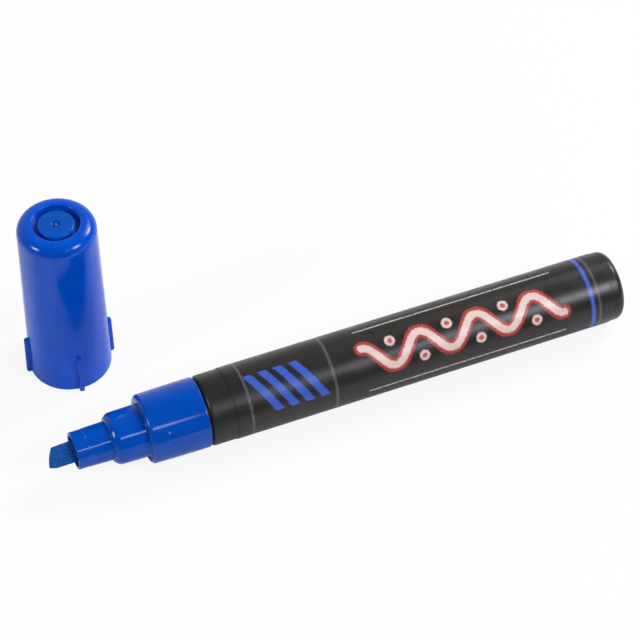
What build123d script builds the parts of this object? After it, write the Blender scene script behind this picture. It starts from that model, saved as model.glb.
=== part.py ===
from build123d import *

import os
from math import cos, hypot, pi, radians, sin, sqrt, tan

# A liquid chalk marker lying on a surface, with its cap taken off and standing mouth down beside it.
# Millimetres. X runs along the pen from nib to tail, Z is up, and the surface is Z = 0.
# The origin is on the surface, in the middle of the whole object's box.

# Barrel and the printed film shrunk round it
film_diameter = 15.5
film_thickness = 0.12
film_slack = 0.01
film_from_shoulder = 4.85
film_from_tail = 3.3
barrel_length = 95.1
barrel_wall = 1.0
barrel_tail_wall = 1.4
barrel_front_edge = 0.3
barrel_tail_edge = 1.6
barrel_inner_edge = 1.0
neck_length = 1.0
neck_depth = 0.5

# Nozzle: tip tube, middle tube, collar and plug
tip_diameter = 8.0
tip_draft = 0.18
tip_length = 7.65
tip_wall = 0.62
tip_edge = 0.22
tip_cove = 0.2
tip_recess_depth = 1.2
witness_from_rim = 2.5
witness_step = 0.06
middle_diameter = 11.14
middle_draft = 0.12
middle_length = 7.4
middle_edge = 1.25
middle_cove = 0.2
collar_inset = 0.02
collar_draft = 0.15
collar_seat_length = 4.0
collar_length = 12.75
collar_edge = 0.75
plug_length = 12.0
plug_wall = 1.1
plug_clearance = 0.03
plug_edge = 0.4

# Nib: a felt block with a slanted chisel edge, rolled to face up and to the front
nib_width = 4.6
nib_thickness = 3.8
nib_reach = 5.5
nib_slant = 20.0
nib_taper = 0.2
nib_bulge = 0.25
nib_heel_length = 1.5
nib_heel_height = 0.35
nib_edge = 0.3
nib_roll = 38.0
nib_clearance = 0.08
nib_tail_free = 5.2
nib_back_room = 3.5
nib_chamber_gap = 0.5
nib_travel = 2.0

# Valve: seat, cage, stem and spring
valve_bore_depth = 14.0
seat_thickness = 1.4
seat_ink_gap = 0.8
seat_overlap = 1.2
cage_clearance = 0.03
cage_wall = 0.8
cage_end_wall = 1.2
cage_tail = 7.0
cage_flange_thickness = 1.0
cage_window_count = 4
cage_window_width = 3.0
cage_window_margin = 0.7
cage_edge = 0.3
stem_diameter = 1.8
stem_clearance = 0.08
stem_tail = 0.8
poppet_thickness = 1.4
contact_gap = 0.02
spring_wire = 0.5
spring_inset = 0.5
spring_turns = 8
spring_end_gap = 0.05

# Mixing ball
ball_diameter = 6.0
ball_gap = 0.05

# Cap and its inner seal
cap_wall = 1.15
cap_clearance = 0.08
cap_land = 8.0
cap_draft = 0.6
cap_top_edge = 2.3
cap_mouth_edge = 0.4
cap_groove_depth = 1.4
cap_groove_width = 1.13
cap_groove_edge = 0.3
cap_spacing = 30.4
cap_setback = 18.7
rib_count = 4
rib_phase = -3.0
rib_height = 0.9
rib_width = 1.05
rib_length = 9.78
rib_from_mouth = 0.02
rib_corner = 0.25
rib_edge = 0.3
seal_clearance = 0.06
seal_wall = 0.8
seal_standoff = 1.0
seal_nib_room = 4.95
seal_end_wall = 2.0
seal_end_edge = 0.8
seal_flange_lip = 0.95
seal_flange_thickness = 2.5
seal_socket_lip = 0.6
seal_fit = 0.02
disc_diameter = 7.7
disc_drop = 0.35
disc_edge = 0.3

# Most of a step or a wall that the rounding of its edges may take
cove_share = 0.1
edge_share = 0.88
wall_share = 0.45

# Stations along the pen
pen_length = nib_reach + tip_length + middle_length + collar_length + barrel_length
nib_tip_x = -pen_length / 2
rim_x = nib_tip_x + nib_reach
witness_x = rim_x + witness_from_rim
middle_x = rim_x + tip_length
collar_x = middle_x + middle_length
seat_x = collar_x + collar_length
shoulder_x = seat_x + neck_length
tail_x = seat_x + barrel_length
plug_end_x = seat_x + plug_length
valve_shoulder_x = plug_end_x - valve_bore_depth
nib_back_x = valve_shoulder_x - nib_travel - nib_back_room
guide_front_x = rim_x + tip_recess_depth
guide_back_x = nib_back_x - nib_tail_free
seat_back_x = valve_shoulder_x + seat_thickness
poppet_front_x = seat_back_x + contact_gap
poppet_back_x = poppet_front_x + poppet_thickness
cage_back_x = plug_end_x + cage_tail
cage_inner_end_x = cage_back_x - cage_end_wall
stem_back_x = cage_back_x + stem_tail

# Radii about the pen's axis
film_radius = film_diameter / 2
film_inner_radius = film_radius - film_thickness
barrel_radius = film_inner_radius - film_slack
barrel_bore_radius = barrel_radius - barrel_wall
plug_radius = barrel_bore_radius - plug_clearance
valve_bore_radius = plug_radius - plug_wall
cage_radius = valve_bore_radius - cage_clearance
cage_bore_radius = cage_radius - cage_wall
tip_radius = tip_diameter / 2
tip_root_radius = tip_radius + tip_draft
middle_radius = middle_diameter / 2
middle_root_radius = middle_radius + middle_draft
collar_seat_radius = barrel_radius - collar_inset
collar_front_radius = collar_seat_radius - collar_draft
recess_radius = tip_radius - tip_wall
chamber_radius = hypot(nib_width, nib_thickness) / 2 + nib_chamber_gap
stem_radius = stem_diameter / 2
seat_hole_radius = stem_radius + seat_ink_gap
poppet_radius = seat_hole_radius + seat_overlap
spring_radius = poppet_radius - spring_inset
ball_radius = ball_diameter / 2
tip_step = middle_radius - tip_root_radius
collar_step = collar_front_radius - middle_root_radius

# Heights and radii of the cap, measured from its mouth as it sits when it is pushed on to the shoulder
cap_bore_radius = collar_seat_radius + cap_clearance
cap_mouth_radius = cap_bore_radius + cap_wall
cap_top_radius = cap_mouth_radius - cap_draft
seal_mouth_z = shoulder_x - middle_x + seal_standoff
seal_end_z = shoulder_x - nib_tip_x + seal_nib_room
ledge_z = seal_end_z + seal_end_wall
seal_flange_z = ledge_z - seal_flange_thickness
socket_z = seal_flange_z - seal_socket_lip
cap_height = ledge_z + cap_groove_depth
disc_z = cap_height - disc_drop
seal_cup_radius = tip_root_radius + seal_clearance
seal_outer_radius = seal_cup_radius + seal_wall
seal_flange_radius = seal_outer_radius + seal_flange_lip
socket_radius = seal_flange_radius + seal_fit
disc_radius = disc_diameter / 2
groove_radius = disc_radius + cap_groove_width
cap_ring_width = cap_top_radius - groove_radius
cap_top_round = min(cap_top_edge, edge_share * (cap_ring_width - cap_groove_edge))
cap_inner_top_radius = cap_mouth_radius - cap_draft * socket_z / cap_height - cap_wall
rib_top_z = rib_from_mouth + rib_length
rib_tip_radius = cap_mouth_radius + rib_height
rib_top_radius = rib_tip_radius - cap_draft * rib_top_z / cap_height
rib_root_radius = cap_bore_radius + cap_wall / 2
rib_angles = [rib_phase + 360 / rib_count * number for number in range(rib_count)]


def rib_reach(angle):
    """How far towards +Y a rib's rounded tip stands from the cap's axis."""
    across = abs(cos(radians(angle))) * (rib_width / 2 - rib_edge)
    return sin(radians(angle)) * (rib_tip_radius - rib_edge) + across + rib_edge


# Places on the surface
cap_reach = max([cap_mouth_radius] + [rib_reach(angle) for angle in rib_angles])
pen_y = (film_radius - cap_spacing - cap_reach) / 2
pen_z = film_radius
cap_x = seat_x - cap_setback
cap_y = pen_y + cap_spacing
ball_front_x = stem_back_x + nib_travel + ball_gap + ball_radius
ball_back_x = tail_x - barrel_tail_wall - ball_gap - ball_radius
ball_x = (ball_front_x + ball_back_x) / 2
ball_z = pen_z - barrel_bore_radius + ball_gap + ball_radius

pen_axis = Axis((0, pen_y, pen_z), (1, 0, 0))
cap_axis = Axis((cap_x, cap_y, 0), (0, 0, 1))
pen_plane = Plane(origin=(0, pen_y, pen_z), x_dir=(1, 0, 0), z_dir=(0, -1, 0))
cap_plane = Plane(origin=(cap_x, cap_y, 0), x_dir=(1, 0, 0), z_dir=(0, -1, 0))
nib_face = Vector(0, -sin(radians(nib_roll)), cos(radians(nib_roll)))
nib_across = Vector(0, cos(radians(nib_roll)), sin(radians(nib_roll)))
nib_plane = Plane(origin=(0, pen_y, pen_z), x_dir=(1, 0, 0), z_dir=nib_face)


def cross_plane(x, x_dir=(0, 1, 0)):
    """Plane square to the pen's axis, facing the tail."""
    return Plane(origin=(x, pen_y, pen_z), x_dir=x_dir, z_dir=(1, 0, 0))


def outline(*corners):
    """Closed profile whose corners are (first, second, radius), sharp where the radius is 0."""
    FilletPolyline(
        *[(first, second) for first, second, radius in corners],
        radius=[radius for first, second, radius in corners],
        close=True,
    )


os.makedirs("parts", exist_ok=True)

# Barrel: a moulded tube with a closed tail and a short neck that the nozzle's collar seats on
with BuildPart() as barrel:
    with BuildSketch(pen_plane):
        with BuildLine():
            outline(
                (seat_x, barrel_bore_radius, 0),
                (seat_x, barrel_radius - neck_depth, 0),
                (shoulder_x, barrel_radius - neck_depth, 0),
                (shoulder_x, barrel_radius, min(barrel_front_edge, edge_share * neck_depth)),
                (tail_x, barrel_radius, barrel_tail_edge),
                (tail_x, 0, 0),
                (tail_x - barrel_tail_wall, 0, 0),
                (tail_x - barrel_tail_wall, barrel_bore_radius, barrel_inner_edge),
            )
        make_face()
    revolve(axis=pen_axis)
barrel.part.label = "barrel"
export_step(barrel.part, "parts/barrel.step")

# Label sleeve: the printed film, bare barrel showing at both its ends
with BuildPart() as label_sleeve:
    with BuildSketch(pen_plane):
        with BuildLine():
            outline(
                (shoulder_x + film_from_shoulder, film_inner_radius, 0),
                (shoulder_x + film_from_shoulder, film_radius, 0),
                (tail_x - film_from_tail, film_radius, 0),
                (tail_x - film_from_tail, film_inner_radius, 0),
            )
        make_face()
    revolve(axis=pen_axis)
label_sleeve.part.label = "label_sleeve"
export_step(label_sleeve.part, "parts/label_sleeve.step")

# Nozzle: three steps outside, and inside them the nib's recess and guide, an ink chamber and the valve bore
with BuildPart() as nozzle:
    with BuildSketch(pen_plane):
        with BuildLine():
            outline(
                (rim_x, recess_radius, min(tip_edge, wall_share * tip_wall)),
                (rim_x, tip_radius, min(tip_edge, wall_share * tip_wall)),
                (witness_x, tip_radius, 0),
                (witness_x, tip_radius + witness_step, 0),
                (middle_x, tip_root_radius, min(tip_cove, cove_share * tip_step)),
                (middle_x, middle_radius, min(middle_edge, edge_share * tip_step)),
                (collar_x, middle_root_radius, min(middle_cove, cove_share * collar_step)),
                (collar_x, collar_front_radius, min(collar_edge, edge_share * collar_step)),
                (seat_x - collar_seat_length, collar_seat_radius, 0),
                (seat_x, collar_seat_radius, 0),
                (seat_x, plug_radius, 0),
                (plug_end_x, plug_radius, min(plug_edge, wall_share * plug_wall)),
                (plug_end_x, valve_bore_radius, 0),
                (valve_shoulder_x, valve_bore_radius, 0),
                (valve_shoulder_x, chamber_radius, 0),
                (guide_back_x, chamber_radius, 0),
                (guide_back_x, 0, 0),
                (guide_front_x, 0, 0),
                (guide_front_x, recess_radius, 0),
            )
        make_face()
    revolve(axis=pen_axis)
    with BuildSketch(cross_plane(guide_front_x, nib_across)):
        RectangleRounded(
            nib_width + 2 * nib_clearance,
            nib_thickness + 2 * nib_clearance,
            nib_edge + nib_clearance,
        )
    extrude(amount=guide_back_x - guide_front_x, mode=Mode.SUBTRACT)
nozzle.part.label = "nozzle"
export_step(nozzle.part, "parts/nozzle.step")

# Nib: seen on its broad face it narrows a little to a slanted, slightly crowned tip with a small heel
nib_crown_x = nib_tip_x + (nib_width - nib_heel_height) * tan(radians(nib_slant))
with BuildPart() as nib:
    with BuildSketch(nib_plane):
        with BuildLine():
            toe = (nib_tip_x, nib_heel_height - nib_width / 2)
            crown = (nib_crown_x, nib_width / 2 - nib_taper)
            SagittaArc(toe, crown, nib_bulge)
            Polyline(
                crown,
                (rim_x, nib_width / 2),
                (nib_back_x, nib_width / 2),
                (nib_back_x, -nib_width / 2),
                (nib_tip_x + nib_heel_length, -nib_width / 2),
                toe,
            )
        make_face()
    extrude(amount=nib_thickness / 2, both=True)
    fillet(nib.faces().filter_by(Axis((0, 0, 0), nib_face)).edges(), nib_edge)
nib.part.label = "nib"
export_step(nib.part, "parts/nib.step")

# Valve seat: a soft ring held against the valve bore's shoulder by the cage
with BuildPart() as valve_seat:
    with BuildSketch(cross_plane(valve_shoulder_x)):
        Circle(cage_radius)
        Circle(seat_hole_radius, mode=Mode.SUBTRACT)
    extrude(amount=seat_thickness)
valve_seat.part.label = "valve_seat"
export_step(valve_seat.part, "parts/valve_seat.step")

# Valve cage: a cup behind the seat, flanged on the plug's end and windowed where it stands in the ink
cage_window_x = plug_end_x + cage_flange_thickness + cage_window_margin
with BuildPart() as valve_cage:
    with BuildSketch(pen_plane):
        with BuildLine():
            outline(
                (seat_back_x, cage_bore_radius, 0),
                (seat_back_x, cage_radius, 0),
                (plug_end_x, cage_radius, 0),
                (plug_end_x, plug_radius, 0),
                (plug_end_x + cage_flange_thickness, plug_radius, 0),
                (plug_end_x + cage_flange_thickness, cage_radius, 0),
                (cage_back_x, cage_radius, min(cage_edge, wall_share * cage_wall)),
                (cage_back_x, stem_radius + stem_clearance, 0),
                (cage_inner_end_x, stem_radius + stem_clearance, 0),
                (cage_inner_end_x, cage_bore_radius, 0),
            )
        make_face()
    revolve(axis=pen_axis)
    with BuildSketch(cross_plane(cage_window_x)):
        with PolarLocations((cage_radius + cage_bore_radius) / 2, cage_window_count):
            Rectangle(cage_radius, cage_window_width)
    extrude(amount=cage_inner_end_x - cage_window_margin - cage_window_x, mode=Mode.SUBTRACT)
valve_cage.part.label = "valve_cage"
export_step(valve_cage.part, "parts/valve_cage.step")

# Valve stem: a pin from the nib through the seat, a poppet that closes it, and a tail guided by the cage
with BuildPart() as valve_stem:
    with BuildSketch(pen_plane):
        with BuildLine():
            outline(
                (nib_back_x + contact_gap, 0, 0),
                (nib_back_x + contact_gap, stem_radius, 0),
                (poppet_front_x, stem_radius, 0),
                (poppet_front_x, poppet_radius, 0),
                (poppet_back_x, poppet_radius, 0),
                (poppet_back_x, stem_radius, 0),
                (stem_back_x, stem_radius, 0),
                (stem_back_x, 0, 0),
            )
        make_face()
    revolve(axis=pen_axis)
valve_stem.part.label = "valve_stem"
export_step(valve_stem.part, "parts/valve_stem.step")

# Valve spring: one unbroken wire, each quarter turn a pair of tangent arcs, from the poppet to the cage's end
spring_start_x = poppet_back_x + spring_end_gap + spring_wire / 2
spring_end_x = cage_inner_end_x - spring_end_gap - spring_wire / 2
spring_pitch = (spring_end_x - spring_start_x) / spring_turns
arcs_per_turn = 4


def spring_point(turn):
    """Place on the wire's centre line after a number of turns."""
    angle = 2 * pi * turn
    across = Vector(0, cos(angle), sin(angle)) * spring_radius
    return Vector(spring_start_x + spring_pitch * turn, pen_y, pen_z) + across


def spring_direction(turn):
    """Unit direction of the wire's centre line after a number of turns."""
    angle = 2 * pi * turn
    around = Vector(0, -sin(angle), cos(angle)) * (2 * pi * spring_radius)
    return (around + Vector(spring_pitch, 0, 0)).normalized()


def arc_joint(start, start_direction, end, end_direction):
    """Point where two equal tangent arcs meet between two places on a curve."""
    chord = end - start
    both = start_direction + end_direction
    along = chord.dot(both)
    bend = 4 - both.dot(both)
    reach = (sqrt(along * along + bend * chord.dot(chord)) - along) / bend
    return (start + start_direction * reach + end - end_direction * reach) * 0.5


with BuildPart() as valve_spring:
    with BuildLine() as spring_path:
        for step in range(arcs_per_turn * spring_turns):
            from_turn = step / arcs_per_turn
            to_turn = (step + 1) / arcs_per_turn
            start = spring_point(from_turn)
            end = spring_point(to_turn)
            meet = arc_joint(start, spring_direction(from_turn), end, spring_direction(to_turn))
            half = TangentArc(start, meet, tangent=spring_direction(from_turn))
            TangentArc(meet, end, tangent=half % 1)
    with BuildSketch(Plane(origin=spring_point(0), z_dir=spring_direction(0))):
        Circle(spring_wire / 2)
    sweep()
valve_spring.part.label = "valve_spring"
export_step(valve_spring.part, "parts/valve_spring.step")

samples_per_turn = 24
spring_samples = range(samples_per_turn * spring_turns + 1)
spring_points = [spring_point(number / samples_per_turn) for number in spring_samples]
spring_gap = min(
    (spring_points[later] - spring_points[first]).length
    for first in range(len(spring_points))
    for later in range(first + samples_per_turn // 2, len(spring_points))
) - spring_wire
print(f"valve spring: least gap to itself {spring_gap:.2f} mm")

# Mixing ball: rests on the barrel's floor, halfway along its run
with BuildPart() as mixing_ball:
    with Locations((ball_x, pen_y, ball_z)):
        Sphere(ball_radius)
mixing_ball.part.label = "mixing_ball"
export_step(mixing_ball.part, "parts/mixing_ball.step")
print(f"mixing ball: run of {ball_back_x - ball_front_x:.2f} mm")

# Cap rib: one rounded fin, standing out along X from the cap's axis and drafted as the cap's wall is
with BuildPart() as cap_rib:
    with BuildSketch(Plane.XZ):
        with BuildLine():
            outline(
                (rib_root_radius, rib_from_mouth, 0),
                (rib_tip_radius, rib_from_mouth, min(rib_corner, edge_share * rib_height)),
                (rib_top_radius, rib_top_z, min(rib_corner, edge_share * rib_height)),
                (rib_root_radius, rib_top_z, 0),
            )
        make_face()
    extrude(amount=rib_width / 2, both=True)
    rib_sides = cap_rib.faces().sort_by(Axis.X)[-1].edges().sort_by(SortBy.LENGTH)[-2:]
    fillet(rib_sides, min(rib_edge, wall_share * rib_width))

# Cap shell: a drafted tube with a ring top, a socket for the inner seal and ribs that stop the pen rolling
with BuildPart() as cap_shell:
    with BuildSketch(cap_plane):
        with BuildLine():
            outline(
                (cap_bore_radius, 0, 0),
                (cap_mouth_radius, 0, min(cap_mouth_edge, wall_share * cap_wall)),
                (cap_top_radius, cap_height, cap_top_round),
                (groove_radius, cap_height, cap_groove_edge),
                (groove_radius, ledge_z, 0),
                (socket_radius, ledge_z, 0),
                (socket_radius, socket_z, 0),
                (cap_inner_top_radius, socket_z, 0),
                (cap_bore_radius, cap_land, 0),
            )
        make_face()
    revolve(axis=cap_axis)
    with Locations((cap_x, cap_y, 0)):
        with PolarLocations(0, rib_count, start_angle=rib_phase):
            add(cap_rib.part)
cap_shell.part.label = "cap_shell"
export_step(cap_shell.part, "parts/cap_shell.step")

# Cap inner seal: a cup that closes on the tip tube, its head showing as the disc in the cap's top
with BuildPart() as cap_inner_seal:
    with BuildSketch(cap_plane):
        with BuildLine():
            outline(
                (0, seal_end_z, 0),
                (seal_cup_radius, seal_end_z, seal_end_edge),
                (seal_cup_radius, seal_mouth_z, 0),
                (seal_outer_radius, seal_mouth_z, 0),
                (seal_outer_radius, seal_flange_z, 0),
                (seal_flange_radius, seal_flange_z, 0),
                (seal_flange_radius, ledge_z, 0),
                (disc_radius, ledge_z, 0),
                (disc_radius, disc_z, disc_edge),
                (0, disc_z, 0),
            )
        make_face()
    revolve(axis=cap_axis)
cap_inner_seal.part.label = "cap_inner_seal"
export_step(cap_inner_seal.part, "parts/cap_inner_seal.step")
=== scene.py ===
import math

import bmesh
import bpy
from mathutils import Matrix, Vector


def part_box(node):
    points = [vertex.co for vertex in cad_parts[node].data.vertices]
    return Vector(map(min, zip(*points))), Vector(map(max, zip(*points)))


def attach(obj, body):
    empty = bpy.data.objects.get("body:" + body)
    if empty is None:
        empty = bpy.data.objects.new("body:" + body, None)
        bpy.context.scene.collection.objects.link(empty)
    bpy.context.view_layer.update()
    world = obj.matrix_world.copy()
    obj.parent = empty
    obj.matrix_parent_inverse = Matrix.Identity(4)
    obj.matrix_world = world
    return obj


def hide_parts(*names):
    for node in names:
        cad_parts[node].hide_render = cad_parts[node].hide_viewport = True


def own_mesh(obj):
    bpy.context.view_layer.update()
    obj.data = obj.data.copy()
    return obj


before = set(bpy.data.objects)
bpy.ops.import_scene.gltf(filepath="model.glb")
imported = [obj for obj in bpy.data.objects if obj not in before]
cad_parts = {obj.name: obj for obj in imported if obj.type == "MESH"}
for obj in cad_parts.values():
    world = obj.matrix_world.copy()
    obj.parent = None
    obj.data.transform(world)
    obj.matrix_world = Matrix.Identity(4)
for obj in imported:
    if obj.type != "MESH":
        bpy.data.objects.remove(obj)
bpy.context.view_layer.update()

# Sizes are in millimetres, angles in degrees and meshes in metres
MM = 0.001


def ends(node, axis):
    """Lowest and highest place of a solid along one axis, in millimetres."""
    low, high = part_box(node)
    return low[axis] / MM, high[axis] / MM


# Stations along the pen
NIB_TIP, NIB_BACK = ends("nib", 0)
RIM, PLUG_END = ends("nozzle", 0)
SEAT, TAIL = ends("barrel", 0)
FILM_FRONT, FILM_BACK = ends("label_sleeve", 0)
SPRING_FRONT, SPRING_BACK = ends("valve_spring", 0)
BALL_FRONT, BALL_BACK = ends("mixing_ball", 0)
GUIDE_FRONT = RIM + 1.2
WITNESS = RIM + 2.5
RIDGE = WITNESS + 0.1
RIDGE_END = WITNESS + 0.25
MIDDLE = RIM + 7.65
MIDDLE_BROW = MIDDLE + 1.0
COLLAR = MIDDLE + 7.4
COLLAR_LAND = SEAT - 4.0
SHOULDER = SEAT + 0.4
GUIDE_BACK = NIB_BACK - 5.2
VALVE_SHOULDER = PLUG_END - 14.0
BARREL_FLOOR = TAIL - 1.4

# Heights of the cap, from its mouth
CAP_HEIGHT = ends("cap_shell", 2)[1]
SEAL_MOUTH, DISC = ends("cap_inner_seal", 2)
LEDGE = CAP_HEIGHT - 1.4
SEAL_FLANGE = LEDGE - 2.5
SEAL_SOCKET = SEAL_FLANGE - 0.6
SEAL_END = LEDGE - 2.0
CAP_LAND = 8.0
RIB_BOTTOM, RIB_TOP = 0.02, 9.8

# Axes of the pen and of the cap
PEN_Y = sum(ends("label_sleeve", 1)) / 2
PEN_Z = sum(ends("label_sleeve", 2)) / 2
CAP_X = sum(ends("cap_inner_seal", 0)) / 2
CAP_Y = sum(ends("cap_inner_seal", 1)) / 2

# Radii about those axes
FILM, FILM_INSIDE, BARREL, BARREL_BORE, NECK = 7.75, 7.63, 7.62, 6.62, 6.88
TIP, TIP_STEP, TIP_RIDGE, TIP_ROOT, TIP_RECESS = 4.0, 4.06, 4.11, 4.18, 3.38
MIDDLE_FACE, MIDDLE_FRONT, MIDDLE_ROOT, COLLAR_FRONT, COLLAR_SEAT = 4.73, 5.57, 5.69, 7.45, 7.6
PLUG, VALVE_BORE, INK_CHAMBER, GUIDE_RING = 6.59, 5.49, 3.4833, 3.2
CAP_MOUTH, CAP_TOP, CAP_BORE, CAP_INNER_TOP = 8.83, 8.23, 7.68, 7.143
GROOVE, DISC_RADIUS, SOCKET, SEAL_CUP, SEAL_OUTER, SEAL_LIP = 4.98, 3.85, 6.01, 4.24, 5.04, 5.99

# Roundings of the turned pieces' edges, and of the feet of their steps
BORE_END_FOOT, SHOULDER_EDGE, TAIL_EDGE, FILM_EDGE = 1.0, 0.7, 1.6, 0.06
RIM_EDGE, RIDGE_EDGE, RIDGE_FOOT, PLUG_EDGE = 0.22, 0.04, 0.05, 0.4
MIDDLE_FOOT, MIDDLE_EDGE, MIDDLE_BROW_EDGE = 0.14, 0.35, 0.6
COLLAR_FOOT, COLLAR_EDGE, COLLAR_SEAT_EDGE = 0.18, 0.75, 0.3
MOUTH_EDGE, CAP_TOP_EDGE, GROOVE_EDGE, SEAL_CUP_FOOT, DISC_EDGE = 0.4, 2.3, 0.3, 0.8, 0.3

# Cap's ribs: each is as wide as eight of the wall's faces, and close rows of faces shape its top. The edges of
# its root lie near the wall and bend by more than an angle
RIB_COUNT, RIB_PHASE, RIB_WIDTH, RIB_HEIGHT, RIB_CROWN, RIB_ROOT = 4, -3.0, 1.05, 0.9, 0.3, 0.12
RIB_ROWS = [RIB_TOP - drop for drop in (0.45, 0.3, 0.15, 0.05, 0, -0.3)]
RIB_NEAR, RIB_ROOT_ANGLE = 0.1, 40

# Mould mark on the collar: a dimple, shaped by close rows of faces
MARK, MARK_TURN, MARK_RADIUS, MARK_DEPTH = COLLAR + 4.15, 53.4, 0.5, 0.18
MARK_ROWS = [MARK + step for step in (-0.6, -0.5, -0.35, -0.2, 0, 0.2, 0.35, 0.5, 0.6)]

# Gate mark in the cap's disc: a round pit, with the slanted stub of the gate in its middle
PIT, PIT_FLOOR, PIT_DEPTH, PIT_EDGE, PIT_FOOT = 1.0, 0.75, 0.4, 0.1, 0.08
STUB, STUB_SINK, STUB_EDGE, STUB_TURN, STUB_SLANT = 0.4, 0.05, 0.04, 14.6, 0.79

# Nib, with its clearance in the guide and the least angle of an edge that is rounded
NIB_WIDTH, NIB_THICKNESS, NIB_ROLL, NIB_CLEARANCE = 4.6, 3.8, 38.0, 0.08
NIB_SLANT, NIB_TAPER, NIB_BULGE, NIB_HEEL, NIB_HEEL_HEIGHT = 20.0, 0.2, 0.25, 1.5, 0.35
NIB_EDGE, NIB_EDGE_ANGLE = 0.3, 30

# Valve spring, and how far its front end is pushed when the nib opens the valve
SPRING_WIRE, SPRING_TURNS, VALVE_TRAVEL = 0.5, 8, 2.0
SPRING_RADIUS = ends("valve_spring", 1)[1] - PEN_Y - SPRING_WIRE / 2

# Faces round each turned piece, and in the smaller round shapes
TURNS, CAP_TURNS = 192, 416
ROUNDING_FACES, EDGE_FACES, NIB_BOW_CUTS = 6, 3, 7
WIRE_SIDES, WIRE_STEPS, BALL_SIDES, BALL_RINGS = 12, 32, 64, 32

# How far past a rounding a flat is held flat, the slack in telling which points lie on a ring, the distance
# in metres at which two points are one, and the least angle of a sharp edge
HOLD, NEAR, MERGE, SHARP_ANGLE = 0.12, 0.01, 1e-7, 32

# Finishes, by the size and depth of one mark. Scuffs, tool grain and felt fibres are finer on a real pen,
# and are drawn as coarse as they need to be to show
FLOW_MARK, SHRINK_WAVE, GLOSS_SCUFF = 6.25, 3.57, 1.11
PIGMENT_CLOUD, SATIN_SCUFF, TOOL_GRAIN, FELT_FIBRE, FILM_RIPPLE = 4.55, 1.43, 0.667, 0.238, 3.85
SHRINK_DEPTH, GRAIN_DEPTH, FIBRE_DEPTH, RIPPLE_DEPTH = 0.1, 0.05, 0.15, 0.2

# Print on the film, the same on each half turn of it, laid out from the line that faces up and to the front
PRINT_TURN = 39.0
PRINT_PERIOD = math.pi * FILM
INK_CHALK, RED_CHALK, PALE_CHALK = "#3F62C8", "#B5443F", "#F0D5CC"
RULE_CHALK, RING_CHALK = "#D8D2CB", "#5B5B5B"
STROKES, STROKE_SPACING, STROKE_SLANT, STROKE_REACH, STROKE_HALF = (5.1, 18.7), 3.4, 0.55, 4.4, 0.95
WAVE, WAVE_LENGTH, WAVE_HEIGHT, WAVE_HALF, WAVE_CORE = (29.25, 74.75), 13.0, 2.7, 1.5, 0.8
BEAD_OFFSET, BEAD_RADIUS, BEAD_CORE, RULE_OFFSET, RULE_HALF = 2.6, 1.15, 0.55, 7.4, 0.14
RINGS = ((3.2, RING_CHALK, 0.25), (22.0, RING_CHALK, 0.3), (81.4, INK_CHALK, 0.45), (83.0, RING_CHALK, 0.25))
CHALK_GRIT, CHALK_DUST, CHALK_RAGGED, CHALK_SOFT, CHALK_END_SLOPE = 0.4545, 0.2222, 0.5, 0.14, 4.0

# Front edge of the sheet that the object stands on: the way to it, how far it is, and how softly it ends,
# in metres, and the reach of the floor
SHEET_FRONT, SHEET_EDGE, SHEET_SOFT, FLOOR_REACH = (-0.378, -0.926, 0.0), 0.105, 0.01, 4.0

# Strength of the room's light, and how much it gains low behind the object
ROOM_LIGHT, BACK_LIGHT = 0.08, 0.65


def hex_colour(text):
    """Linear colour of an sRGB hex value."""
    parts = [int(text[at:at + 2], 16) / 255 for at in (1, 3, 5)]
    return tuple(c / 12.92 if c <= 0.04045 else ((c + 0.055) / 1.055) ** 2.4 for c in parts) + (1.0,)


def add(tree, kind, inputs=None, **settings):
    """Adds a node, sets its properties, and gives its sockets values or links."""
    made = tree.nodes.new(kind)
    for key, value in settings.items():
        setattr(made, key, value)
    for key, value in (inputs or {}).items():
        if isinstance(value, bpy.types.NodeSocket):
            tree.links.new(value, made.inputs[key])
        else:
            made.inputs[key].default_value = value
    return made


def new_material(name):
    """An empty node material and its tree."""
    material = bpy.data.materials.new(name)
    material.use_nodes = True
    material.node_tree.nodes.clear()
    return material, material.node_tree


def close_surface(tree, inputs):
    """Ends a material in one plastic, metal or felt surface shader."""
    shader = add(tree, "ShaderNodeBsdfPrincipled", inputs)
    add(tree, "ShaderNodeOutputMaterial", {"Surface": shader.outputs["BSDF"]})


def two_tones(tree, share, dark, light, low=0.3, high=0.7):
    """Colour that runs from a dark to a light tone as a share rises."""
    ramp = add(tree, "ShaderNodeValToRGB", {"Fac": share})
    for element, place, tone in zip(ramp.color_ramp.elements, (low, high), (dark, light)):
        element.position = place
        element.color = hex_colour(tone)
    return ramp.outputs["Color"]


def per_metre(size):
    """Scale of a pattern whose marks have a size in millimetres."""
    return 1 / (size * MM)


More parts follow.
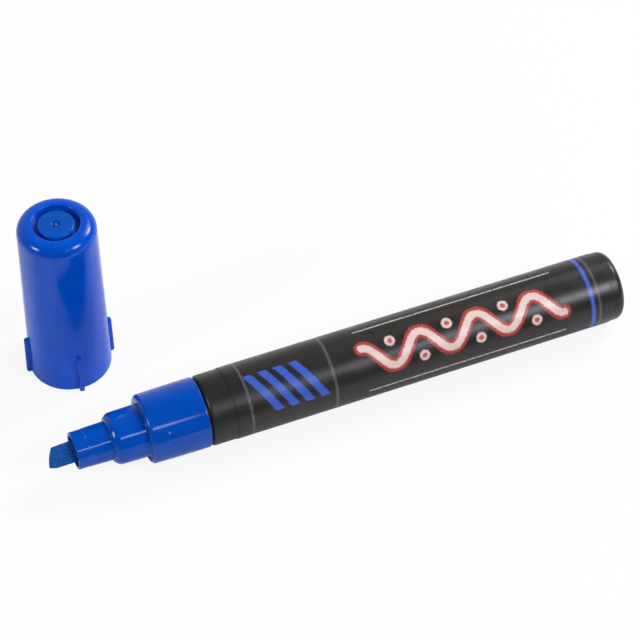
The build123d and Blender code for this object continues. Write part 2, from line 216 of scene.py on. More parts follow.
def blue_polypropylene(name, dark, light):
    """Moulded polypropylene with blue pigment: a smooth glossy skin that waves a little where it shrank,
    with faint flow marks in the pigment and fine scuffs in the gloss."""
    material, tree = new_material(name)
    place = add(tree, "ShaderNodeTexCoord").outputs["Object"]
    flow = add(tree, "ShaderNodeTexNoise", {
        "Vector": place, "Scale": per_metre(FLOW_MARK), "Detail": 3.0, "Roughness": 0.5})
    scuff = add(tree, "ShaderNodeTexNoise", {
        "Vector": place, "Scale": per_metre(GLOSS_SCUFF), "Detail": 4.0, "Roughness": 0.6})
    gloss = add(tree, "ShaderNodeMapRange", {
        "Value": scuff.outputs["Fac"], "From Min": 0.3, "From Max": 0.75, "To Min": 0.06, "To Max": 0.13})
    wave = add(tree, "ShaderNodeTexNoise", {
        "Vector": place, "Scale": per_metre(SHRINK_WAVE), "Detail": 2.0, "Roughness": 0.4})
    skin = add(tree, "ShaderNodeBump", {
        "Height": wave.outputs["Fac"], "Strength": 0.04, "Distance": SHRINK_DEPTH * MM})
    close_surface(tree, {
        "Base Color": two_tones(tree, flow.outputs["Fac"], dark, light),
        "Roughness": gloss.outputs["Result"],
        "IOR": 1.49,
        "Specular IOR Level": 0.3,
        "Normal": skin.outputs["Normal"],
    })
    return material


def black_polypropylene():
    """Moulded polypropylene with carbon black: satin, with a fine tool grain and scuffs that dull it."""
    material, tree = new_material("moulded_black_polypropylene")
    place = add(tree, "ShaderNodeTexCoord").outputs["Object"]
    shade = add(tree, "ShaderNodeTexNoise", {
        "Vector": place, "Scale": per_metre(PIGMENT_CLOUD), "Detail": 4.0, "Roughness": 0.55})
    scuff = add(tree, "ShaderNodeTexNoise", {
        "Vector": place, "Scale": per_metre(SATIN_SCUFF), "Detail": 5.0, "Roughness": 0.65})
    gloss = add(tree, "ShaderNodeMapRange", {
        "Value": scuff.outputs["Fac"], "From Min": 0.3, "From Max": 0.75, "To Min": 0.3, "To Max": 0.42})
    grain = add(tree, "ShaderNodeTexNoise", {"Vector": place, "Scale": per_metre(TOOL_GRAIN), "Detail": 2.0})
    skin = add(tree, "ShaderNodeBump", {
        "Height": grain.outputs["Fac"], "Strength": 0.15, "Distance": GRAIN_DEPTH * MM})
    close_surface(tree, {
        "Base Color": two_tones(tree, shade.outputs["Fac"], "#201F1C", "#282724", 0.35),
        "Roughness": gloss.outputs["Result"],
        "IOR": 1.49,
        "Specular IOR Level": 0.37,
        "Normal": skin.outputs["Normal"],
    })
    return material


def ink_felt():
    """Pressed polyester felt soaked in ink: dull, speckled by single fibres and darker where it is wet."""
    material, tree = new_material("ink_soaked_felt")
    place = add(tree, "ShaderNodeTexCoord").outputs["Object"]
    fibres = add(tree, "ShaderNodeTexNoise", {
        "Vector": place, "Scale": per_metre(FELT_FIBRE), "Detail": 4.0, "Roughness": 0.7})
    skin = add(tree, "ShaderNodeBump", {
        "Height": fibres.outputs["Fac"], "Strength": 0.6, "Distance": FIBRE_DEPTH * MM})
    close_surface(tree, {
        "Base Color": two_tones(tree, fibres.outputs["Fac"], "#053081", "#286DBD", 0.35, 0.68),
        "Roughness": 0.85,
        "Specular IOR Level": 0.1,
        "Normal": skin.outputs["Normal"],
    })
    return material


def plain_inner(name, dark, light, mark, roughness, metallic):
    """Inner pieces that only show when the pen is taken apart: a mottled tone over a fine grain."""
    material, tree = new_material(name)
    place = add(tree, "ShaderNodeTexCoord").outputs["Object"]
    mottle = add(tree, "ShaderNodeTexNoise", {"Vector": place, "Scale": per_metre(mark), "Detail": 3.0})
    grain = add(tree, "ShaderNodeBump", {
        "Height": mottle.outputs["Fac"], "Strength": 0.1, "Distance": GRAIN_DEPTH * MM})
    close_surface(tree, {
        "Base Color": two_tones(tree, mottle.outputs["Fac"], dark, light),
        "Roughness": roughness,
        "Metallic": metallic,
        "Normal": grain.outputs["Normal"],
    })
    return material


def chalk_print(tree, ground):
    """A plain chalk ornament over the film's ground colour, in millimetres along it and round it: slanted
    strokes in the ink's colour, a wave with beads in its hollows, rules and rings, all edged with grit."""
    flat = add(tree, "ShaderNodeUVMap", uv_map="wrap").outputs["UV"]
    place = add(tree, "ShaderNodeSeparateXYZ", {"Vector": flat})
    along = place.outputs["X"]
    around = add(tree, "ShaderNodeMath", {0: place.outputs["Y"], 1: PRINT_PERIOD / 2, 2: -PRINT_PERIOD / 2},
                 operation="WRAP").outputs[0]
    grit = add(tree, "ShaderNodeTexNoise", {
        "Vector": flat, "Scale": 1 / CHALK_GRIT, "Detail": 4.0, "Roughness": 0.7})
    ragged = add(tree, "ShaderNodeMapRange", {
        "Value": grit.outputs["Fac"], "To Min": -CHALK_RAGGED, "To Max": CHALK_RAGGED})
    dust = add(tree, "ShaderNodeTexNoise", {
        "Vector": flat, "Scale": 1 / CHALK_DUST, "Detail": 3.0, "Roughness": 0.7})
    grain = add(tree, "ShaderNodeMapRange", {
        "Value": dust.outputs["Fac"], "From Min": 0.32, "From Max": 0.48, "To Min": 0.5, "To Max": 0.95})

    def away(value, centre):
        """Distance of a value from a centre."""
        apart = add(tree, "ShaderNodeMath", {0: value, 1: centre}, operation="SUBTRACT").outputs[0]
        return add(tree, "ShaderNodeMath", {0: apart}, operation="ABSOLUTE").outputs[0]

    def within(distance, value, first, last):
        """Cuts a shape's distance off outside a stretch."""
        outside = add(tree, "ShaderNodeMath", {0: away(value, (first + last) / 2), 1: (last - first) / 2},
                      operation="SUBTRACT").outputs[0]
        slope = add(tree, "ShaderNodeMath", {0: outside, 1: CHALK_END_SLOPE}, operation="MULTIPLY")
        cut = add(tree, "ShaderNodeMath", {0: distance, 1: slope.outputs[0]}, operation="MAXIMUM")
        return cut.outputs[0]

    def chalk(over, colour, distance, half_width):
        """Lays a chalk colour over another where a distance is under half a line's width."""
        edge = add(tree, "ShaderNodeMath", {0: distance, 1: ragged.outputs["Result"]}, operation="ADD")
        cover = add(tree, "ShaderNodeMapRange", {
            "Value": edge.outputs[0], "From Min": half_width - CHALK_SOFT,
            "From Max": half_width + CHALK_SOFT, "To Min": 1.0, "To Max": 0.0})
        dusty = add(tree, "ShaderNodeMath", {0: cover.outputs["Result"], 1: grain.outputs["Result"]},
                    operation="MULTIPLY").outputs[0]
        laid = add(tree, "ShaderNodeMixRGB", {"Fac": dusty, "Color1": over, "Color2": hex_colour(colour)})
        return laid.outputs["Color"]

    # Slanted strokes
    slanted = add(tree, "ShaderNodeMath", {0: around, 1: STROKE_SLANT, 2: along},
                  operation="MULTIPLY_ADD").outputs[0]
    repeated = add(tree, "ShaderNodeMath", {0: slanted, 1: STROKE_SPACING / 2, 2: -STROKE_SPACING / 2},
                   operation="WRAP").outputs[0]
    strokes = within(within(away(repeated, 0.0), around, -STROKE_REACH, STROKE_REACH), slanted, *STROKES)
    ground = chalk(ground, INK_CHALK, strokes, STROKE_HALF)

    # Wave with round ends: the distance to it is taken round the film, and is less where the wave is steep
    first, last = WAVE
    reach = add(tree, "ShaderNodeClamp", {"Value": along, "Min": first, "Max": last}).outputs["Result"]
    beyond = add(tree, "ShaderNodeMath", {0: along, 1: reach}, operation="SUBTRACT").outputs[0]
    pace = 2 * math.pi / WAVE_LENGTH
    phase = add(tree, "ShaderNodeMath", {0: reach, 1: pace}, operation="MULTIPLY").outputs[0]
    swing = add(tree, "ShaderNodeMath", {0: phase}, operation="SINE").outputs[0]
    crest = add(tree, "ShaderNodeMath", {0: swing, 1: WAVE_HEIGHT}, operation="MULTIPLY").outputs[0]
    sway = add(tree, "ShaderNodeMath", {0: phase}, operation="COSINE").outputs[0]
    steep = add(tree, "ShaderNodeMath", {0: sway, 1: WAVE_HEIGHT * pace}, operation="MULTIPLY").outputs[0]
    lean = add(tree, "ShaderNodeMath", {0: steep, 1: steep, 2: 1.0}, operation="MULTIPLY_ADD").outputs[0]
    lean = add(tree, "ShaderNodeMath", {0: lean}, operation="SQRT").outputs[0]
    apart = add(tree, "ShaderNodeMath", {0: away(around, crest), 1: lean}, operation="DIVIDE").outputs[0]
    offset = add(tree, "ShaderNodeCombineXYZ", {"X": beyond, "Y": apart}).outputs["Vector"]
    ribbon = add(tree, "ShaderNodeVectorMath", {0: offset}, operation="LENGTH").outputs["Value"]
    ground = chalk(ground, RED_CHALK, ribbon, WAVE_HALF)
    ground = chalk(ground, PALE_CHALK, ribbon, WAVE_CORE)

    # Beads, one in each hollow of the wave
    side = add(tree, "ShaderNodeMath", {0: swing}, operation="SIGN").outputs[0]
    across = add(tree, "ShaderNodeMath", {0: side, 1: BEAD_OFFSET, 2: around},
                 operation="MULTIPLY_ADD").outputs[0]
    beside = add(tree, "ShaderNodeMath", {0: along, 1: WAVE_LENGTH / 2, 2: 0.0}, operation="WRAP").outputs[0]
    beside = away(beside, WAVE_LENGTH / 4)
    spot = add(tree, "ShaderNodeCombineXYZ", {"X": beside, "Y": across}).outputs["Vector"]
    bead = add(tree, "ShaderNodeVectorMath", {0: spot}, operation="LENGTH").outputs["Value"]
    bead = within(bead, along, first + WAVE_LENGTH / 4, last - WAVE_LENGTH / 4)
    ground = chalk(ground, PALE_CHALK, bead, BEAD_RADIUS)
    ground = chalk(ground, RED_CHALK, bead, BEAD_CORE)

    # Rules beside the wave, and rings round the film
    rules = within(away(away(around, 0.0), RULE_OFFSET), along, first, last)
    ground = chalk(ground, RULE_CHALK, rules, RULE_HALF)
    for station, colour, half_width in RINGS:
        ground = chalk(ground, colour, away(along, station), half_width)
    return ground


def printed_film():
    """Shrink film with a black print under a clear skin: satin, slightly rippled, with a chalk ornament."""
    material, tree = new_material("printed_shrink_film")
    place = add(tree, "ShaderNodeTexCoord").outputs["Object"]
    shade = add(tree, "ShaderNodeTexNoise", {
        "Vector": place, "Scale": per_metre(PIGMENT_CLOUD), "Detail": 4.0, "Roughness": 0.55})
    ripple = add(tree, "ShaderNodeTexNoise", {
        "Vector": place, "Scale": per_metre(FILM_RIPPLE), "Detail": 2.0, "Roughness": 0.45})
    skin = add(tree, "ShaderNodeBump", {
        "Height": ripple.outputs["Fac"], "Strength": 0.2, "Distance": RIPPLE_DEPTH * MM})
    gloss = add(tree, "ShaderNodeMapRange", {
        "Value": shade.outputs["Fac"], "From Min": 0.3, "From Max": 0.7, "To Min": 0.26, "To Max": 0.36})
    ground = two_tones(tree, shade.outputs["Fac"], "#272521", "#2A2824")
    close_surface(tree, {
        "Base Color": chalk_print(tree, ground),
        "Roughness": gloss.outputs["Result"],
        "IOR": 1.5,
        "Specular IOR Level": 0.37,
        "Normal": skin.outputs["Normal"],
    })
    return material


def on_pen(along, radius):
    """Point above the pen's axis."""
    return Vector((along, PEN_Y, PEN_Z + radius)) * MM


def on_cap(height, radius):
    """Point on the first rib's side of the cap's axis."""
    phase = math.radians(RIB_PHASE)
    return Vector((CAP_X + radius * math.cos(phase), CAP_Y + radius * math.sin(phase), height)) * MM


def turned(corners, place, turns, ring=False):
    """Spins a profile of (along, radius, rounding) corners about the pen's or the cap's axis."""
    made = bmesh.new()
    points = [made.verts.new(place(along, radius)) for along, radius, rounding in corners]
    for first, second in zip(points, points[1:] + points[:1] if ring else points[1:]):
        made.edges.new((first, second))
    rounded = [(point, corner[2] * MM) for point, corner in zip(points, corners) if corner[2]]
    for point, rounding in rounded:
        held = rounding + HOLD * MM
        for edge in point.link_edges[:]:
            if edge.calc_length() > 2 * held:
                bmesh.utils.edge_split(edge, point, held / edge.calc_length())
    for point, rounding in rounded:
        bmesh.ops.bevel(made, geom=[point], offset=rounding, offset_type="OFFSET", segments=ROUNDING_FACES,
                        profile=0.5, affect="VERTICES", material=-1)
    bmesh.ops.spin(made, geom=made.verts[:] + made.edges[:], cent=place(0, 0),
                   axis=place(1, 0) - place(0, 0), dvec=(0, 0, 0), angle=2 * math.pi, steps=turns,
                   use_merge=True)
    bmesh.ops.remove_doubles(made, verts=made.verts, dist=MERGE)
    bmesh.ops.recalc_face_normals(made, faces=made.faces)
    return made


def keep(made, name, material, body, slot, *nodes):
    """Turns a finished shape into a piece that rides on a body in place of the solids it stands for."""
    mesh = bpy.data.meshes.new(name)
    made.to_mesh(mesh)
    made.free()
    mesh.materials.append(material)
    mesh.shade_smooth()
    mesh.set_sharp_from_angle(angle=math.radians(SHARP_ANGLE))
    piece = bpy.data.objects.new(name, mesh)
    bpy.context.scene.collection.objects.link(piece)
    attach(piece, body)
    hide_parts(*nodes)
    return piece


# The same blue plastic in three tones, each matched to how its part shows: the seal's and the nozzle's darker
# tones are painted shade
cap_blue = blue_polypropylene("moulded_cap_polypropylene", "#004CC1", "#0055CF")
seal_blue_painted_shade = blue_polypropylene("moulded_seal_polypropylene", "#004EAF", "#0058BB")
nozzle_blue_painted_shade = blue_polypropylene("moulded_nozzle_polypropylene", "#0048AD", "#0051BA")
black = black_polypropylene()
film = printed_film()
felt = ink_felt()

# Barrel
barrel = turned([
    (BARREL_FLOOR, 0, 0),
    (BARREL_FLOOR, BARREL_BORE, BORE_END_FOOT),
    (SEAT, BARREL_BORE, 0),
    (SEAT, NECK, 0),
    (SHOULDER, NECK, 0),
    (SHOULDER, BARREL, SHOULDER_EDGE),
    (TAIL, BARREL, TAIL_EDGE),
    (TAIL, 0, 0),
], on_pen, TURNS)
keep(barrel, "barrel_moulding", black, "pen", "black_plastic", "barrel")

# Film, laid out flat for its print
sleeve = turned([
    (FILM_FRONT, FILM_INSIDE, 0),
    (FILM_FRONT, FILM, FILM_EDGE),
    (FILM_BACK, FILM, FILM_EDGE),
    (FILM_BACK, FILM_INSIDE, 0),
], on_pen, TURNS, ring=True)
layout = sleeve.loops.layers.uv.new("wrap")
upright = Matrix.Rotation(math.radians(-PRINT_TURN), 3, "X")
for face in sleeve.faces:
    middle = upright @ (face.calc_center_median() - on_pen(0, 0))
    for corner in face.loops:
        at = upright @ (corner.vert.co - on_pen(0, 0))
        past = math.atan2(at.y * middle.z - at.z * middle.y, at.y * middle.y + at.z * middle.z)
        corner[layout].uv = (at.x / MM - FILM_FRONT, FILM * (math.atan2(middle.y, middle.z) + past))
keep(sleeve, "barrel_film", film, "pen", "printed_film", "label_sleeve")


def collar_wall(along):
    """Outer radius of the collar's drafted wall at a station."""
    return COLLAR_FRONT + (COLLAR_SEAT - COLLAR_FRONT) * (along - COLLAR) / (COLLAR_LAND - COLLAR)


# Nozzle: turned outside and in, and dimpled by a small mould mark. Then its round guide is drawn in to the
# nib's sides
nozzle = turned([
    (GUIDE_FRONT, GUIDE_RING, 0),
    (GUIDE_FRONT, TIP_RECESS, 0),
    (RIM, TIP_RECESS, RIM_EDGE),
    (RIM, TIP, RIM_EDGE),
    (WITNESS, TIP, 0),
    (RIDGE, TIP_RIDGE, RIDGE_EDGE),
    (RIDGE_END, TIP_STEP, RIDGE_FOOT),
    (MIDDLE, TIP_ROOT, MIDDLE_FOOT),
    (MIDDLE, MIDDLE_FACE, MIDDLE_EDGE),
    (MIDDLE_BROW, MIDDLE_FRONT, MIDDLE_BROW_EDGE),
    (COLLAR, MIDDLE_ROOT, COLLAR_FOOT),
    (COLLAR, COLLAR_FRONT, COLLAR_EDGE),
    *[(station, collar_wall(station), 0) for station in MARK_ROWS],
    (COLLAR_LAND, COLLAR_SEAT, 0),
    (SEAT, COLLAR_SEAT, COLLAR_SEAT_EDGE),
    (SEAT, PLUG, 0),
    (PLUG_END, PLUG, PLUG_EDGE),
    (PLUG_END, VALVE_BORE, 0),
    (VALVE_SHOULDER, VALVE_BORE, 0),
    (VALVE_SHOULDER, INK_CHAMBER, 0),
    (GUIDE_BACK, INK_CHAMBER, 0),
    (GUIDE_BACK, GUIDE_RING, 0),
], on_pen, TURNS, ring=True)

marked = Matrix.Rotation(math.radians(MARK_TURN), 3, "X") @ Vector((0, 0, 1))
mark = on_pen(MARK, 0) + marked * collar_wall(MARK) * MM
for point in nozzle.verts:
    share = (point.co - mark).length / (MARK_RADIUS * MM)
    if share < 1:
        point.co -= marked * MARK_DEPTH * (1 - share ** 2) * MM

nib_roll = Matrix.Rotation(math.radians(NIB_ROLL), 4, "X")
half_width, half_thickness = NIB_WIDTH / 2 + NIB_CLEARANCE, NIB_THICKNESS / 2 + NIB_CLEARANCE
for point in nozzle.verts:
    at = nib_roll.inverted() @ (point.co - on_pen(0, 0)) / MM
    if math.hypot(at.y, at.z) < GUIDE_RING + NEAR:
        spread = max(abs(at.y) / half_width, abs(at.z) / half_thickness)
        point.co = on_pen(0, 0) + nib_roll @ Vector((at.x, at.y / spread, at.z / spread)) * MM
keep(nozzle, "nozzle_moulding", nozzle_blue_painted_shade, "pen", "blue_plastic", "nozzle")

# Nib: its side is drawn flat, bowed along its slanted edge, thickened, rounded and rolled into place
nib = bmesh.new()
slant_length = (NIB_WIDTH - NIB_HEEL_HEIGHT) * math.tan(math.radians(NIB_SLANT))
side = [
    (NIB_TIP, NIB_HEEL_HEIGHT - NIB_WIDTH / 2),
    (NIB_TIP + slant_length, NIB_WIDTH / 2 - NIB_TAPER),
    (RIM, NIB_WIDTH / 2),
    (NIB_BACK, NIB_WIDTH / 2),
    (NIB_BACK, -NIB_WIDTH / 2),
    (NIB_TIP + NIB_HEEL, -NIB_WIDTH / 2),
]
points = [nib.verts.new(Vector((along, across, -NIB_THICKNESS / 2)) * MM) for along, across in side]
nib.faces.new(points)
toe, crown = points[0].co.copy(), points[1].co.copy()
outward = (crown - toe).cross(Vector((0, 0, -1))).normalized()
bow = bmesh.ops.subdivide_edges(nib, edges=[nib.edges.get(points[:2])], cuts=NIB_BOW_CUTS)
for item in bow["geom_inner"]:
    if isinstance(item, bmesh.types.BMVert):
        share = (item.co - toe).length / (crown - toe).length
        item.co += outward * (NIB_BULGE * MM * 4 * share * (1 - share))
thick = bmesh.ops.extrude_face_region(nib, geom=nib.faces[:])
bmesh.ops.translate(nib, verts=[item for item in thick["geom"] if isinstance(item, bmesh.types.BMVert)],
                    vec=(0, 0, NIB_THICKNESS * MM))
bmesh.ops.recalc_face_normals(nib, faces=nib.faces)
rounded = [edge for edge in nib.edges if edge.calc_face_angle(0) > math.radians(NIB_EDGE_ANGLE)]
bmesh.ops.bevel(nib, geom=rounded, offset=NIB_EDGE * MM, offset_type="OFFSET", segments=EDGE_FACES,
                profile=0.5, affect="EDGES", material=-1)
bmesh.ops.transform(nib, matrix=Matrix.Translation(on_pen(0, 0)) @ nib_roll, verts=nib.verts)
keep(nib, "felt_nib", felt, "nib", "nib_felt", "nib")


def cap_wall(height):
    """Outer radius of the cap's drafted wall at a height."""
    return CAP_MOUTH + (CAP_TOP - CAP_MOUTH) * height / CAP_HEIGHT


def draw_rib(made, turn):
    """Draws a rib out of the cap's wall with a rounded crown and rounded ends, and fills its root."""
    centre = Vector((CAP_X, CAP_Y, 0)) * MM
    out = Vector((math.cos(turn), math.sin(turn), 0))
    across = Vector((-math.sin(turn), math.cos(turn), 0))

    def place(point):
        """Distance across the rib and out from the wall, and height, in millimetres."""
        at = (point - centre) / MM
        return at.dot(across), at.dot(out) - cap_wall(at.z), at.z

    patch = []
    for face in made.faces:
        aside, proud, height = place(face.calc_center_median())
        if abs(aside) < RIB_WIDTH / 2 and abs(proud) < MOUTH_EDGE and RIB_BOTTOM < height < RIB_TOP:
            patch.append(face)
    drawn = bmesh.ops.extrude_face_region(made, geom=patch)["geom"]
    bmesh.ops.delete(made, geom=patch, context="FACES")
    for item in drawn:
        if isinstance(item, bmesh.types.BMVert):
            aside, proud, height = place(item.co)
            height = max(height, RIB_BOTTOM)
            past_side = max(0, abs(aside) - RIB_WIDTH / 2 + RIB_CROWN)
            past_end = max(0, height - RIB_TOP + RIB_CROWN, RIB_BOTTOM + RIB_CROWN - height)
            dome = math.sqrt(max(0, RIB_CROWN ** 2 - past_side ** 2 - past_end ** 2))
            reach = cap_wall(height) + RIB_HEIGHT - RIB_CROWN + dome
            item.co = centre + (across * aside + out * reach) * MM
            item.co.z = height * MM
    root = []
    for edge in made.edges:
        places = [place(point.co) for point in edge.verts]
        on_wall = all(abs(proud) < RIB_NEAR for aside, proud, height in places)
        beside = all(abs(aside) < RIB_WIDTH and RIB_BOTTOM < height < RIB_TOP + RIB_NEAR
                     for aside, proud, height in places)
        steep = edge.calc_face_angle(0) > math.radians(RIB_ROOT_ANGLE)
        if on_wall and beside and steep and not edge.is_convex:
            root.append(edge)
    bmesh.ops.bevel(made, geom=root, offset=RIB_ROOT * MM, offset_type="OFFSET", segments=EDGE_FACES,
                    profile=0.5, affect="EDGES", clamp_overlap=True, material=-1)


# Cap: turned, then ribbed
cap = turned([
    (0, CAP_BORE, 0),
    (0, CAP_MOUTH, MOUTH_EDGE),
    *[(height, cap_wall(height), 0) for height in RIB_ROWS],
    (CAP_HEIGHT, CAP_TOP, CAP_TOP_EDGE),
    (CAP_HEIGHT, GROOVE, GROOVE_EDGE),
    (LEDGE, GROOVE, 0),
    (LEDGE, SOCKET, 0),
    (SEAL_SOCKET, SOCKET, 0),
    (SEAL_SOCKET, CAP_INNER_TOP, 0),
    (CAP_LAND, CAP_BORE, 0),
], on_cap, CAP_TURNS, ring=True)
for number in range(RIB_COUNT):
    draw_rib(cap, math.radians(RIB_PHASE + 360 / RIB_COUNT * number))
bmesh.ops.recalc_face_normals(cap, faces=cap.faces)
keep(cap, "cap_moulding", cap_blue, "cap", "blue_plastic", "cap_shell")

# Inner seal, whose head shows as the disc in the cap's top with a gate mark in its middle
seal = turned([
    (SEAL_END, 0, 0),
    (SEAL_END, SEAL_CUP, SEAL_CUP_FOOT),
    (SEAL_MOUTH, SEAL_CUP, 0),
    (SEAL_MOUTH, SEAL_OUTER, 0),
    (SEAL_FLANGE, SEAL_OUTER, 0),
    (SEAL_FLANGE, SEAL_LIP, 0),
    (LEDGE, SEAL_LIP, 0),
    (LEDGE, DISC_RADIUS, 0),
    (DISC, DISC_RADIUS, DISC_EDGE),
    (DISC, PIT, PIT_EDGE),
    (DISC - PIT_DEPTH, PIT_FLOOR, PIT_FOOT),
    (DISC - PIT_DEPTH, STUB, 0),
    (DISC - STUB_SINK, STUB, STUB_EDGE),
    (DISC - STUB_SINK, 0, 0),
], on_cap, TURNS)
stub_low = Vector((math.sin(math.radians(STUB_TURN)), -math.cos(math.radians(STUB_TURN)), 0))
for point in seal.verts:
    at = (point.co - on_cap(DISC, 0)) / MM
    if math.hypot(at.x, at.y) < STUB + NEAR and at.z > -PIT_DEPTH / 2:
        point.co.z -= at.dot(stub_low) * STUB_SLANT * MM
keep(seal, "seal_moulding", seal_blue_painted_shade, "cap", "blue_plastic", "cap_inner_seal")

# Inner pieces
acetal = plain_inner("moulded_white_acetal", "#D9D9D4", "#E6E6E2", 2.5, 0.4, 0.0)
rubber = plain_inner("moulded_black_rubber", "#1B1B1B", "#262626", 1.11, 0.7, 0.0)
wire = plain_inner("drawn_stainless_wire", "#B9B9B5", "#CFCFCB", 0.5, 0.28, 1.0)
ball_steel = plain_inner("polished_stainless_ball", "#C6C6C4", "#D4D4D2", 1.25, 0.12, 1.0)
for name, material in (("valve_cage", acetal), ("valve_stem", acetal), ("valve_seat", rubber)):
    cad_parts[name].data.materials.clear()
    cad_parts[name].data.materials.append(material)

# Valve spring: a round wire wound up along the pen
coil = bmesh.new()
first_coil = Vector((SPRING_FRONT + SPRING_WIRE / 2, PEN_Y + SPRING_RADIUS, PEN_Z)) * MM
climb = (SPRING_BACK - SPRING_FRONT - SPRING_WIRE) * MM
steps = WIRE_STEPS * SPRING_TURNS
bmesh.ops.create_circle(coil, segments=WIRE_SIDES, radius=SPRING_WIRE / 2 * MM,
                        matrix=Matrix.Translation(first_coil))
bmesh.ops.spin(coil, geom=coil.verts[:] + coil.edges[:], cent=on_pen(0, 0), axis=(1, 0, 0),
               dvec=(climb / steps, 0, 0), angle=2 * math.pi * SPRING_TURNS, steps=steps)
bmesh.ops.holes_fill(coil, edges=[edge for edge in coil.edges if edge.is_boundary])
bmesh.ops.recalc_face_normals(coil, faces=coil.faces)
spring = keep(coil, "spring_coil", wire, "pen", "spring_steel", "valve_spring")
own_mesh(spring)

# Mixing ball, loose in the ink
ball = bmesh.new()
bmesh.ops.create_uvsphere(ball, u_segments=BALL_SIDES, v_segments=BALL_RINGS,
                          radius=(BALL_BACK - BALL_FRONT) / 2 * MM,
                          matrix=Matrix.Translation(sum(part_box("mixing_ball"), Vector()) / 2))
keep(ball, "steel_ball", ball_steel, "ball", "ball_steel", "mixing_ball")


def sheet_on_table():
    """A pale paper sheet that looks white behind the object and still takes its shadow, on a darker table
    that begins in front of the object and shows in its gloss."""
    material, tree = new_material("pale_floor")
    place = add(tree, "ShaderNodeTexCoord").outputs["Object"]
    ahead = add(tree, "ShaderNodeVectorMath", {0: place, 1: SHEET_FRONT},
                operation="DOT_PRODUCT").outputs["Value"]
    table = add(tree, "ShaderNodeMapRange", {
        "Value": ahead, "From Min": SHEET_EDGE - SHEET_SOFT, "From Max": SHEET_EDGE + SHEET_SOFT},
        interpolation_type="SMOOTHSTEP")
    path = add(tree, "ShaderNodeLightPath")
    seen = add(tree, "ShaderNodeMath", {
        0: path.outputs["Is Camera Ray"], 1: path.outputs["Is Transmission Ray"]}, operation="MAXIMUM")
    glare = add(tree, "ShaderNodeMapRange", {
        "Value": ahead, "From Min": SHEET_EDGE - 3 * SHEET_SOFT, "From Max": SHEET_EDGE - SHEET_SOFT,
        "To Min": 0.88, "To Max": 0.99})
    share = add(tree, "ShaderNodeMath", {0: seen.outputs[0], 1: glare.outputs["Result"]},
                operation="MULTIPLY")
    tone = add(tree, "ShaderNodeMixRGB", {
        "Fac": table.outputs["Result"], "Color1": hex_colour("#F2F2F2"), "Color2": hex_colour("#2C2C2C")})
    paper = add(tree, "ShaderNodeBsdfDiffuse", {"Color": tone.outputs["Color"]})
    white = add(tree, "ShaderNodeEmission", {"Color": (1, 1, 1, 1), "Strength": 1.0})
    blend = add(tree, "ShaderNodeMixShader", {
        "Fac": share.outputs[0], 1: paper.outputs[0], 2: white.outputs[0]})
    add(tree, "ShaderNodeOutputMaterial", {"Surface": blend.outputs[0]})
    return material


# Floor
sheet = bmesh.new()
bmesh.ops.create_grid(sheet, x_segments=1, y_segments=1, size=FLOOR_REACH)
floor_mesh = bpy.data.meshes.new("floor")
sheet.to_mesh(floor_mesh)
sheet.free()
floor_mesh.materials.append(sheet_on_table())
floor = bpy.data.objects.new("floor", floor_mesh)
bpy.context.scene.collection.objects.link(floor)

# Room: dim, and paler low behind the object
world = bpy.data.worlds.new("studio_room")
bpy.context.scene.world = world
world.use_nodes = True
room = world.node_tree
room.nodes.clear()
toward = add(room, "ShaderNodeTexCoord").outputs["Generated"]
way = add(room, "ShaderNodeSeparateXYZ", {"Vector": toward})
behind = add(room, "ShaderNodeMapRange", {
    "Value": way.outputs["Y"], "From Min": 0.1, "From Max": 0.9, "To Min": 0.0, "To Max": BACK_LIGHT},
    interpolation_type="SMOOTHSTEP")
low = add(room, "ShaderNodeMapRange", {
    "Value": way.outputs["Z"], "From Min": 0.1, "From Max": 1.1, "To Min": 1.0, "To Max": 0.0},
    interpolation_type="SMOOTHSTEP")
level = add(room, "ShaderNodeMath", {0: behind.outputs["Result"], 1: low.outputs["Result"], 2: ROOM_LIGHT},
            operation="MULTIPLY_ADD")
light = add(room, "ShaderNodeBackground", {"Color": (1, 1, 1, 1), "Strength": level.outputs[0]})
add(room, "ShaderNodeOutputWorld", {"Surface": light.outputs["Background"]})


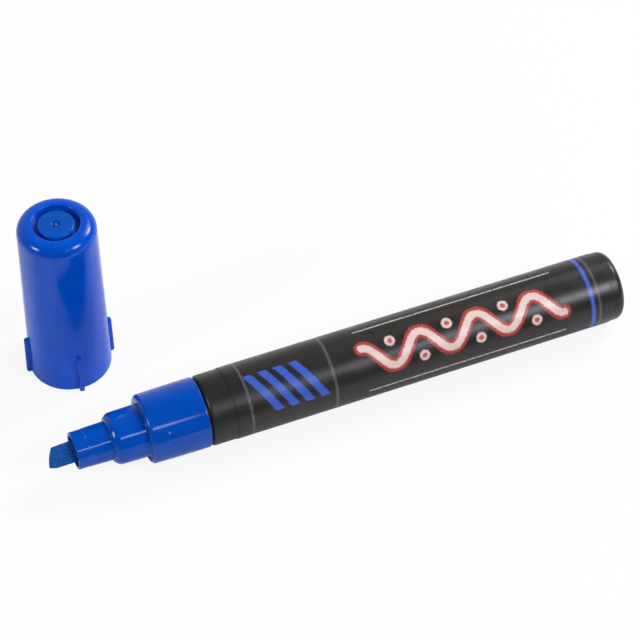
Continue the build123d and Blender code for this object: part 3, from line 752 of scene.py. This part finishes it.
def lamp(name, azimuth, elevation, width, height, radiance, tint):
    """A soft lamp a metre away, facing the object. It fades to its rim, and to look at, its middle is as
    bright as a multiple of white."""
    data = bpy.data.lights.new(name, "AREA")
    data.shape = "ELLIPSE"
    data.size = width
    data.size_y = height
    area = math.pi * width * height / 4
    data.energy = radiance * math.pi * area
    data.color = hex_colour(tint)[:3]
    data.use_nodes = True
    tree = data.node_tree
    tree.nodes.clear()
    spot = add(tree, "ShaderNodeNewGeometry").outputs["Parametric"]
    apart = add(tree, "ShaderNodeVectorMath", {0: spot, 1: (0.5, 0.5, 0.0)}, operation="DISTANCE")
    fade = add(tree, "ShaderNodeMapRange", {
        "Value": apart.outputs["Value"], "From Max": 0.5, "To Min": 1.0, "To Max": 0.0},
        interpolation_type="SMOOTHSTEP")
    glow = add(tree, "ShaderNodeEmission", {"Strength": fade.outputs["Result"]})
    add(tree, "ShaderNodeOutputLight", {"Surface": glow.outputs["Emission"]})
    made = bpy.data.objects.new(name, data)
    made.visible_camera = False
    bpy.context.scene.collection.objects.link(made)
    turn, rise = math.radians(azimuth), math.radians(elevation)
    made.location = (math.sin(turn) * math.cos(rise), -math.cos(turn) * math.cos(rise), math.sin(rise))
    made.rotation_mode = "QUATERNION"
    made.rotation_quaternion = (-made.location).to_track_quat("-Z", "Y")


lamp("lamp_left", -83, 29, 0.5, 0.5, 21.0, "#FFFFFF")
lamp("lamp_right", 105.5, 41, 0.5, 0.5, 26.0, "#FFFFFF")
lamp("lamp_right_glow", 125, 47, 0.7, 0.6, 4.5, "#FFFFFF")
lamp("lamp_front", 37, 39, 0.5, 0.6, 24.0, "#F1F3FF")
lamp("lamp_strip", 6.2, 42.5, 0.2, 0.2, 13.0, "#F1F3FF")

# Camera
camera = bpy.data.objects.new("camera", bpy.data.cameras.new("camera"))
bpy.context.scene.collection.objects.link(camera)
camera.data.sensor_width = 36.0
camera.data.lens = 146.25
camera.location = (-0.137415, -0.343529, 0.42626)
camera.rotation_euler = (math.radians(41.3855), 0, math.radians(-22.18))
bpy.context.scene.camera = camera
bpy.context.scene.view_settings.view_transform = "Standard"
